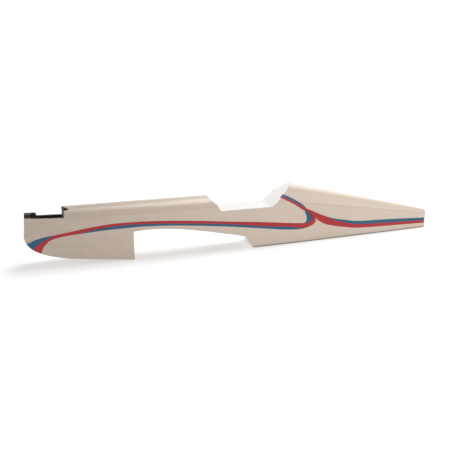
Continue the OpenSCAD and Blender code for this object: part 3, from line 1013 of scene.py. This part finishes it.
@dataclass(frozen=True)
class UndersideSheets:
    """Chin and belly sheets, with rounded lower corners under the film."""

    form: BodyForm
    shop: Workshop
    edge: float = 0.5
    step: float = 8.0
    corner: float = 2.2
    corner_steps: int = 6
    flat_steps: int = 8

    def section(self, half: float, thickness: float) -> list[Pair]:
        """Section of a sheet with two rounded corners.

        Args:
            half: Half its width.
            thickness: Its thickness.

        Returns:
            Closed ring of (breadth, depth from the outer face): outside to starboard, then inside back.
        """
        turns = [math.radians(90 * i / self.corner_steps) for i in range(self.corner_steps + 1)]
        r = self.corner
        port = [(-half + r - r * math.cos(a), r - r * math.sin(a)) for a in turns]
        flat = [(between(-half + r, half - r, i / self.flat_steps), 0.0) for i in range(1, self.flat_steps)]
        starboard = [(half - r + r * math.sin(a), r - r * math.cos(a)) for a in turns]
        inner = [(between(half, -half, i / self.flat_steps), thickness) for i in range(self.flat_steps + 1)]
        return port + flat + starboard + inner

    def sheet(self, stations: Sequence[float], thickness: float,
              place: Callable[[int, float, float], Vector], bay_end: float = 0.0) -> Mesh:
        """Sheet with rounded lower corners.

        Args:
            stations: Stations of its sections.
            thickness: Its thickness.
            place: Place of a section's point, from its breadth and its depth.
            bay_end: Station where the fuel-proofed part of the inner face ends.

        Returns:
            The sheet's mesh.
        """
        rings = [self.section(self.form.film_width(s), thickness) for s in stations]
        around = len(rings[0])
        inner = range(around - self.flat_steps - 1, around - 1)

        def paint(i: int, j: int) -> int:
            """Film outside, resin inside the bay and bare balsa behind it."""
            if j not in inner:
                return SheetFace.FILM
            return SheetFace.PROOFED if stations[i] < bay_end else SheetFace.BARE

        return swept(len(stations) - 1, around, lambda i, j: place(i, *rings[i][j]), paint)

    def chin(self) -> None:
        """Chin sheet, swept down and back from the nose's lip, with the bay's part fuel-proofed inside."""
        form = self.form
        outer, inner = form.chin_line(0), form.chin_line(form.sheet)

        def place(i: int, y: float, depth: float) -> Vector:
            """Moved in along the line's normal."""
            share = depth / form.sheet
            s, z = (max(between(a, b, share), -FILM_LIFT) for a, b in zip(outer[i], inner[i]))
            return form.place(s, y, z)

        bm = self.sheet([s for s, _ in outer], form.sheet, place, form.firewall)
        soften(bm, self.edge, lambda at: at.x > form.at(form.wing_front - 0.3))
        self.shop.piece(bm, "covered_chin", BAY_SHEET, "chin_sheet")

    def belly(self) -> None:
        """Belly sheet, from the slanted cut to the tail post."""
        form = self.form
        stations = spread(form.wing_rear, form.length, self.step)

        def place(i: int, y: float, depth: float) -> Vector:
            """With the front end leaning along the cut."""
            z = max(depth, -FILM_LIFT)
            lean = (form.belly_front - form.wing_rear) * z / form.cut_top
            share = (stations[i] - stations[0]) / (form.length - stations[0])
            s = between(form.belly_front - lean, form.length, share)
            return form.place(s, y * form.film_width(s) / form.film_width(stations[i]), z)

        bm = self.sheet(stations, form.belly_sheet, place)
        self.shop.piece(bm, "covered_belly", SHEET, "belly_sheet")

    def build(self) -> None:
        """Makes both sheets."""
        self.chin()
        self.belly()


# ---- decks


@dataclass(frozen=True)
class Decks:
    """Front deck and turtledeck: arched sheets under film."""

    form: BodyForm
    shop: Workshop
    arch_steps: int = 64
    front_steps: int = 56
    rear_steps: int = 72
    edge: float = 0.5
    proofed: float = 3.2      # bare, fuel-proofed strip at the front deck's front edge
    notch: Line = ((92, 3), (112, -18.5), (92, -26))

    def arched(self, rows: int, power: float, ends: Callable[[float, float], Pair],
               proofed: float = 0.0) -> Mesh:
        """Arched sheet between two leaning ends.

        Args:
            rows: Number of steps along it.
            power: Exponent of the arch.
            ends: Gives the first and last station at a height share and an inset.
            proofed: Width of the fuel-proofed strip at its front edge.

        Returns:
            The sheet's mesh.
        """
        form = self.form
        lead = 1 if proofed else 0

        def place(i: int, share: float, outside: bool) -> Vector:
            """From port over the crown to starboard."""
            inset = 0.0 if outside else form.deck_sheet
            rise = math.sin(math.pi * share) ** power
            first, final = ends(rise, inset)
            s = first if i == 0 else between(first + proofed, final, (i - lead) / (rows - lead))
            foot, half = form.shoulder(s), form.film_width(s)
            arch = form.crown(s) + FILM_LIFT - foot
            y = form.half_breadth(s, foot + rise * arch) * (half - inset) / half
            return form.place(s, y if share > 0.5 else -y, foot + rise * (arch - inset))

        return shell(rows, self.arch_steps, place, SheetFace.BARE, lead * SheetFace.PROOFED)

    def front(self) -> None:
        """Front deck, cut back along the windscreen and notched at the firewall."""
        form = self.form

        def ends(rise: float, inset: float) -> Pair:
            """From the firewall to the windscreen's edge."""
            z = form.shoulder_front + rise * (form.deck_top - inset - form.shoulder_front)
            return form.firewall, form.screen_at(z)

        bm = self.arched(self.front_steps, ROUND_ARCH, ends, self.proofed)
        front, rear = form.at(form.firewall + 0.2), form.at(form.screen - 1)
        soften(bm, self.edge, lambda at: at.x < front or at.x > rear)
        made = self.shop.piece(bm, "covered_front_deck", BAY_SHEET, "deck_sheet")
        outline = [form.place(s, y, form.shoulder_front + 3) for s, y in self.notch]
        cut_away(made, prism(outline, Vector((0, 0, form.deck_top * MM / 2))), SheetFace.PROOFED)

    def rear(self) -> None:
        """Turtledeck, from the seat back to the tail post."""
        form = self.form
        back = form.floor_top - form.seat_drop

        def ends(rise: float, inset: float) -> Pair:
            """From the back of the seat back, where the arch meets its plane, to the tail post."""
            slope = between(form.shoulder_run, form.crown_run, rise)
            crown = form.peak_top + (form.seat_foot - form.peak) * form.crown_run - inset
            at_seat = between(form.seat_shoulder, crown, rise)
            return form.seat_foot + (at_seat - back) / (form.seat_lean - slope), form.length

        bm = self.arched(self.rear_steps, POINTED_ARCH, ends)
        self.shop.piece(bm, "covered_turtledeck", SHEET, "turtledeck_sheet")

    def build(self) -> None:
        """Makes both decks."""
        self.front()
        self.rear()


# ---- cockpit


@dataclass(frozen=True)
class Cockpit:
    """White floor and seat back, with the film folded round their edges."""

    form: BodyForm
    shop: Workshop
    across: int = 12
    floor_steps: int = 30
    back_steps: int = 48
    edge: float = 0.55

    def floor(self) -> None:
        """Flat floor between the windscreen and the seat back, in a darker copy of the white film that paints
        its shade.
        """
        form = self.form

        def place(i: int, share: float, above: bool) -> Vector:
            """From port to starboard, on the top face or the underside."""
            z = form.floor_top if above else form.floor_under
            s = between(form.screen_at(z), form.seat_foot, i / self.floor_steps)
            return form.place(s, (2 * share - 1) * form.film_width(s), z)

        bm = shell(self.floor_steps, self.across, place)
        soften(bm, self.edge, lambda at: at.x < form.at(form.seat_foot - 0.5))
        self.shop.piece(bm, "covered_floor", [Finish.WHITE_PAINTED_SHADE], "cockpit_floor")

    def seat_back(self) -> None:
        """Sloping seat back, in the outline of the body."""
        form = self.form
        lean = math.atan(form.seat_lean)

        def place(i: int, share: float, ahead: bool) -> Vector:
            """From port to starboard, on the front face or on the one behind and below it."""
            turn = math.sin(math.pi / 2 * i / self.back_steps)
            z = between(form.floor_top, form.peak_top + FILM_LIFT, turn)
            s = form.seat_foot + (z - form.floor_top) / form.seat_lean
            y = (2 * share - 1) * form.half_breadth(s, z)
            if ahead:
                return form.place(s, y, z)
            under = max(z - form.deck_sheet * math.cos(lean), form.floor_under)
            return form.place(s + form.deck_sheet * math.sin(lean), y, under)

        bm = shell(self.back_steps, self.across, place)
        soften(bm, self.edge, lambda at: at.z > (form.floor_top + 1) * MM)
        self.shop.piece(bm, "covered_seat_back", [Finish.WHITE], "seat_back")

    def build(self) -> None:
        """Makes the floor and the seat back."""
        self.floor()
        self.seat_back()


# ---- nose


@dataclass(frozen=True)
class NoseRing:
    """Plywood ring at the nose, inside the film, open upwards round the engine's front housing."""

    form: BodyForm
    shop: Workshop
    inset: float = 0.4
    edge: float = 0.4
    depth: float = 8.0
    slot_radius: float = 18.0
    slot_height: float = 100.0
    foot: float = 72.0
    foot_lean: float = 0.35
    slot_steps: int = 28

    def front_at(self, z: float) -> float:
        """Station of the ring's front face at a height."""
        lip = self.form.chin_curve[0][1]
        return self.inset + max(self.form.nose_shift(0, z), (lip - z) * self.foot_lean)

    def build(self) -> None:
        """Makes the ring, as a plate whose front face then leans with the nose."""
        form = self.form
        half, top, r = form.film_width(0) - form.sheet, form.rim - self.inset, self.slot_radius
        turns = [math.pi * i / self.slot_steps for i in range(self.slot_steps + 1)]
        slot = [(r * math.cos(a), self.slot_height - r * math.sin(a)) for a in turns]
        outline = [(-half, self.foot), (half, self.foot), (half, top), (r, top), *slot,
                   (-r, top), (-half, top)]
        bm = prism([form.place(0, y, z) for y, z in outline], Vector((self.depth * MM, 0, 0)))
        lip = form.place(0, 0, form.chin_curve[0][1])
        bmesh.ops.bisect_plane(bm, geom=[*bm.verts, *bm.edges, *bm.faces], plane_co=lip, plane_no=(0, 0, 1))
        for vert in bm.verts:
            if vert.co.x < form.at(self.depth / 2):
                vert.co.x = form.at(self.front_at(vert.co.z / MM))
        soften(bm, self.edge, lambda at: at.z > (self.foot + 0.1) * MM)
        self.shop.piece(bm, "proofed_nose_ring", [Finish.PROOFED], "nose_ring")


# ---- trim and seams


def smooth_line(points: Sequence[Pair], count: int) -> list[Pair]:
    """Evenly spaced points of a smooth line through a few given ones.

    Args:
        points: Points that the line passes through.
        count: Number of steps.

    Returns:
        count + 1 points.
    """
    before = tuple(2 * a - b for a, b in zip(points[0], points[1]))
    after = tuple(2 * a - b for a, b in zip(points[-1], points[-2]))
    p = [before, *points, after]
    lengths = [math.dist(points[i], points[i + 1]) for i in range(len(points) - 1)]
    total = sum(lengths)
    line = []
    for k in range(count + 1):
        left = total * k / count
        i = 0
        while i < len(lengths) - 1 and left > lengths[i]:
            left -= lengths[i]
            i += 1
        t = min(left / lengths[i], 1.0)
        a, b, c, d = p[i:i + 4]
        line.append(tuple(
            b[n] + t / 2 * (c[n] - a[n]) + t * t / 2 * (2 * a[n] - 5 * b[n] + 4 * c[n] - d[n])
            + t**3 / 2 * (3 * b[n] - a[n] - 3 * c[n] + d[n]) for n in (0, 1)))
    return line


@dataclass(frozen=True)
class Strip:
    """Strip of film on the body's side, between an upper and a lower line of (station, height) points."""

    name: str
    finish: Finish
    upper: Line
    lower: Line
    steps: int = 90


NOSE_SPLIT = ((18.7, 50.3), (26.5, 58.3), (34, 64.4), (41.5, 68.9), (49, 72.6), (59, 77.2), (72, 82.7))
BAND_SPLIT = ((118, 81.2), (133, 83.2), (146, 85.3), (160, 87.7), (171, 89.5), (195, 92.5), (220, 94.3),
              (248, 94.9), (272, 94.7), (308, 93.0), (363, 88.5), (494, 76.5), (578, 64.4), (621, 58.1),
              (666, 52.5), (712, 45.8), (738, 40.4))
CURL_INSIDE = ((741, 54.2), (752, 55.5), (760, 60.5), (763, 66.0), (758, 74.2), (746, 90.0))
TAIL_SPLIT = ((790, 74.0), (814, 62.6), (839, 52.0), (867, 43.6), (907, 34.4), (972, 30.0), (1038, 27.2),
              (1138.5, 21.7))
TRIMS = (
    Strip("nose_blue", Finish.BLUE,
          ((5.4, 65.6), (14, 70.3), (26, 75.4), (38, 78.6), (50, 80.7), (62, 82.3), (72, 83.5)), NOSE_SPLIT),
    Strip("nose_red", Finish.RED,
          (*NOSE_SPLIT, (83, 85.4), (104, 87.8)),
          ((37.3, 39.4), (41, 48.4), (45, 55.4), (50.4, 62.1), (58, 69.0), (66, 72.4), (73, 74.6), (83, 76.6),
           (93, 78.2), (104, 79.5))),
    Strip("band_red", Finish.RED,
          ((104, 87.8), (122, 90.8), (146, 94.5), (171, 97.3), (195, 99.7), (220, 101.2), (252, 101.4),
           (290, 100.7), (363, 96.5), (445, 88.8), (530, 79.1), (606, 71.2), (666, 63.4), (712, 57.6),
           (734, 55.4), *CURL_INSIDE),
          ((104, 79.5), *BAND_SPLIT, (753, 43.0), (766, 48.3), (773, 54.5), (774, 60.5), (772, 67.0)), 150),
    Strip("band_blue", Finish.BLUE, BAND_SPLIT,
          ((118, 80.9), (133, 81.8), (146, 82.5), (160, 83.5), (171, 84.3), (195, 85.7), (220, 86.5),
           (270, 87.4), (300, 87.1), (363, 83.7), (445, 75.4), (530, 64.9), (606, 54.0), (666, 44.4),
           (713, 39.4), (738, 39.2)), 130),
    Strip("curl_blue", Finish.BLUE,
          ((728, 55.9), (738, 55.6), (744.5, 60.5), (745.5, 69.3), (743, 78.4), (739, 87.1), (741, 93.5)),
          ((741, 54.2), (752, 55.5), (760, 60.5), (763, 66.0), (758, 74.2), (748, 88.0), (741, 94.5)), 40),
    Strip("seat_stripe_blue", Finish.BLUE,
          ((671.5, 141.6), (685, 136.4), (704, 126.7), (722, 115.4), (735, 105.6), (742, 98.4)),
          ((668.5, 138.0), (685, 129.8), (704, 119.6), (722, 109.6), (735, 101.8), (742, 97.8)), 60),
    Strip("seat_stripe_red", Finish.RED,
          ((668.5, 138.0), (685, 129.8), (704, 119.6), (722, 109.6), (735, 101.8), (742, 97.9),
           (757, 90.4), (782, 78.2), (790, 74.0)),
          ((664.5, 133.4), (682, 124.7), (704, 112.8), (723, 100.2), (737, 90.9), (748, 88.0), (758, 74.2),
           (772, 66.6), (781, 58.6)), 80),
    Strip("tail_stripe_red", Finish.RED, TAIL_SPLIT,
          ((781, 58.6), (799, 47.8), (824, 39.2), (868, 29.9), (908, 23.3), (973, 19.9), (1039, 17.6),
           (1138.5, 14.2)), 110),
    Strip("tail_stripe_blue", Finish.BLUE,
          ((790, 74.2), (814, 64.8), (839, 57.0), (867, 51.2), (907, 43.8), (972, 40.4), (1037, 36.9),
           (1138.5, 30.2)), TAIL_SPLIT, 110),
)


@dataclass(frozen=True)
class FilmWork:
    """Trim film and the laps of the covering, as thin strips that follow the body."""

    form: BodyForm
    shop: Workshop
    across: int = 8
    lap: float = 4.5              # width of a lap
    lap_steps: int = 80
    over: float = 1.0             # how far a lap reaches above the side sheet
    lap_from: float = 664.0       # station where the turtledeck's lap starts
    belly_lap: float = 7.5        # height of the belly lap's upper edge

    def strip(self, strip: Strip, side: Side, lift: float) -> None:
        """One strip on one side.

        Args:
            strip: Strip to lay.
            side: Side of the fuselage.
            lift: Distance of its face outwards from the frame's outer surface.
        """
        lines = [smooth_line(strip.upper, strip.steps), smooth_line(strip.lower, strip.steps)]

        def place(i: int, share: float, outside: bool) -> Vector:
            """From the upper line to the lower one."""
            s, z = (between(a, b, share) for a, b in zip(lines[0][i], lines[1][i]))
            breadth = self.form.half_breadth(s, z, lift if outside else FILM_LIFT - STRIP_DEPTH)
            return self.form.place(s, side.value * breadth, z)

        bm = shell(strip.steps, self.across, place)
        self.shop.piece(bm, f"{strip.name}_{side.word}", [strip.finish])

    def seams(self) -> list[Strip]:
        """Laps where one sheet of film ends on the next."""
        form = self.form
        end = form.length - 1
        front = (form.firewall + 0.5, form.screen_at(form.shoulder_front) - 1)
        tops = {
            "lap_front_deck": [(s, form.shoulder_front + self.over) for s in front],
            "lap_turtledeck": [(s, form.shoulder(s) + self.over) for s in spread(self.lap_from, end, 40)],
            "lap_belly": [(s, self.belly_lap) for s in (form.belly_front + 1, end)],
        }
        return [Strip(name, Finish.CREAM_LAP, tuple(top), tuple((s, z - self.lap) for s, z in top),
                      self.lap_steps) for name, top in tops.items()]

    def build(self) -> None:
        """Lays the seams first, and the trim over them."""
        for side in Side:
            for strip in self.seams():
                self.strip(strip, side, SEAM_LIFT)
            for strip in TRIMS:
                self.strip(strip, side, TRIM_LIFT)


# ---- inner structure


def both(name: str) -> tuple[str, str]:
    """Names of a node's port and starboard twins."""
    return (f"{name}_port", f"{name}_starboard")


TUBES = ("elevator_tube", "rudder_tube", "throttle_tube")
STRUCTURE: dict[Finish, tuple[str, ...]] = {
    Finish.PROOFED: ("firewall", *both("bay_doubler"), "cowl_blocks"),
    Finish.ZINC: ("engine_mount_blind_nuts", "wing_blind_nuts"),
    Finish.PLY_X: ("deck_former", "le_bulkhead", "mid_former", "seat_former",
                   *(f"rear_former_{i}" for i in range(1, 5))),
    Finish.PLY_Y: both("saddle_doubler"),
    Finish.PLY_Z: ("tank_floor", "wing_bolt_plate", "servo_tray"),
    Finish.SPRUCE: (*both("front_longeron"), "servo_rails", "turtledeck_spine", *both("rear_longeron")),
    Finish.BALSA: ("tail_post",),
    Finish.WHITE: ("dash_panel", "saddle_rear_bulkhead"),
    Finish.NYLON: TUBES,
}


@dataclass(frozen=True)
class InnerStructure:
    """Frame nodes that stay as they are, and only get their finish and broken edges."""

    shop: Workshop
    edge: float = 0.25

    def dress(self) -> None:
        """Dresses every node."""
        for finish, nodes in STRUCTURE.items():
            for node in nodes:
                self.shop.dress(node, finish, 0.0 if node in TUBES else self.edge)


# ---- studio


LAMP_AIM = (0.0, 0.0, 0.08)


@dataclass(frozen=True)
class Studio:
    """Pale floor, soft light from above and behind the tail, and the camera. Its sizes are in metres."""

    azimuth: float = math.radians(-17.07)
    elevation: float = math.radians(17.24)
    distance: float = 1.694
    aim: tuple[float, float, float] = (-0.0506, 0.0, 0.0596)
    floor_size: float = 60.0
    floor_steps: int = 60
    floor_turn: float = 20.0      # how gently the floor turns up at its edge
    near_glow: float = 0.42
    far_glow: float = 1.0
    glow_run: Pair = (1.0, 4.0)   # metres over which the floor's glow grows from near to far
    air: float = 0.20             # strength of the even light from all round
    lens: float = 50.0            # camera's focal length and sensor width, in millimetres
    sensor: float = 36.0

    def camera(self) -> None:
        """Long-lens camera off the port bow, a little above."""
        back = Vector((math.sin(self.azimuth) * math.cos(self.elevation),
                       -math.cos(self.azimuth) * math.cos(self.elevation), math.sin(self.elevation)))
        made = linked("camera", bpy.data.cameras.new("camera"))
        made.data.lens = self.lens
        made.data.sensor_width = self.sensor
        made.location = Vector(self.aim) + back * self.distance
        made.rotation_euler = (-back).to_track_quat("-Z", "Y").to_euler()
        bpy.context.scene.camera = made

    def light(self, name: str, place: Sequence[float], size: float, power: float) -> None:
        """Square soft light that looks at the fuselage.

        Args:
            name: Light's name.
            place: Where it stands, in metres.
            size: Length of its sides, in metres.
            power: Its power, in watts.
        """
        lamp = bpy.data.lights.new(name, "AREA")
        lamp.shape = "SQUARE"
        lamp.size = size
        lamp.energy = power
        made = linked(name, lamp)
        made.location = place
        made.rotation_euler = (Vector(LAMP_AIM) - Vector(place)).to_track_quat("-Z", "Y").to_euler()

    def floor(self) -> None:
        """Wide pale floor that turns up all round, far away, and glows more with distance."""
        board = NodeBoard("pale_floor")
        cloud = board.noise(3, 2)
        tone = board.mix(board.ramp(cloud, 0.3, 0.7), rgba((0.60, 0.60, 0.60)), rgba((0.62, 0.62, 0.62)))
        away = board.make("ShaderNodeVectorMath", {0: board.place}, "Value", operation="LENGTH")
        glow = board.ramp(away, *self.glow_run, self.near_glow, self.far_glow)
        board.feed(board.shader, {"Base Color": tone, "Roughness": 0.9, "Emission Color": rgba((1, 1, 1)),
                                  "Emission Strength": glow})
        bm = bmesh.new()
        bmesh.ops.create_grid(bm, x_segments=self.floor_steps, y_segments=self.floor_steps,
                              size=self.floor_size / 2)
        for vert in bm.verts:
            beyond = max(0.0, vert.co.length - self.floor_size / 4)
            vert.co.z = beyond * beyond / self.floor_turn
        for face in bm.faces:
            face.smooth = True
        solid(bm, "floor", [board.material])

    def build(self) -> None:
        """Sets up the whole studio."""
        world = bpy.data.worlds.new("studio_air")
        world.use_nodes = True
        sky = world.node_tree.nodes["Background"]
        sky.inputs["Color"].default_value = (1.0, 1.0, 1.0, 1.0)
        sky.inputs["Strength"].default_value = self.air
        bpy.context.scene.world = world
        bpy.context.scene.view_settings.view_transform = "Standard"
        self.floor()
        self.light("overhead", (0.9, 0.6, 2.2), size=2.2, power=76)
        self.light("tail_side", (1.1, -0.9, 0.5), size=0.8, power=3.5)
        self.camera()


def main() -> None:
    """Builds the fuselage's looks, sub-assembly by sub-assembly."""
    logging.basicConfig(level=logging.INFO, format="%(message)s")
    form = BodyForm.from_frame()
    shop = Workshop()
    SideSheets(form, shop).build()
    UndersideSheets(form, shop).build()
    Decks(form, shop).build()
    Cockpit(form, shop).build()
    NoseRing(form, shop).build()
    FilmWork(form, shop).build()
    InnerStructure(shop).dress()
    Studio().build()


if __name__ == "__main__":
    main()
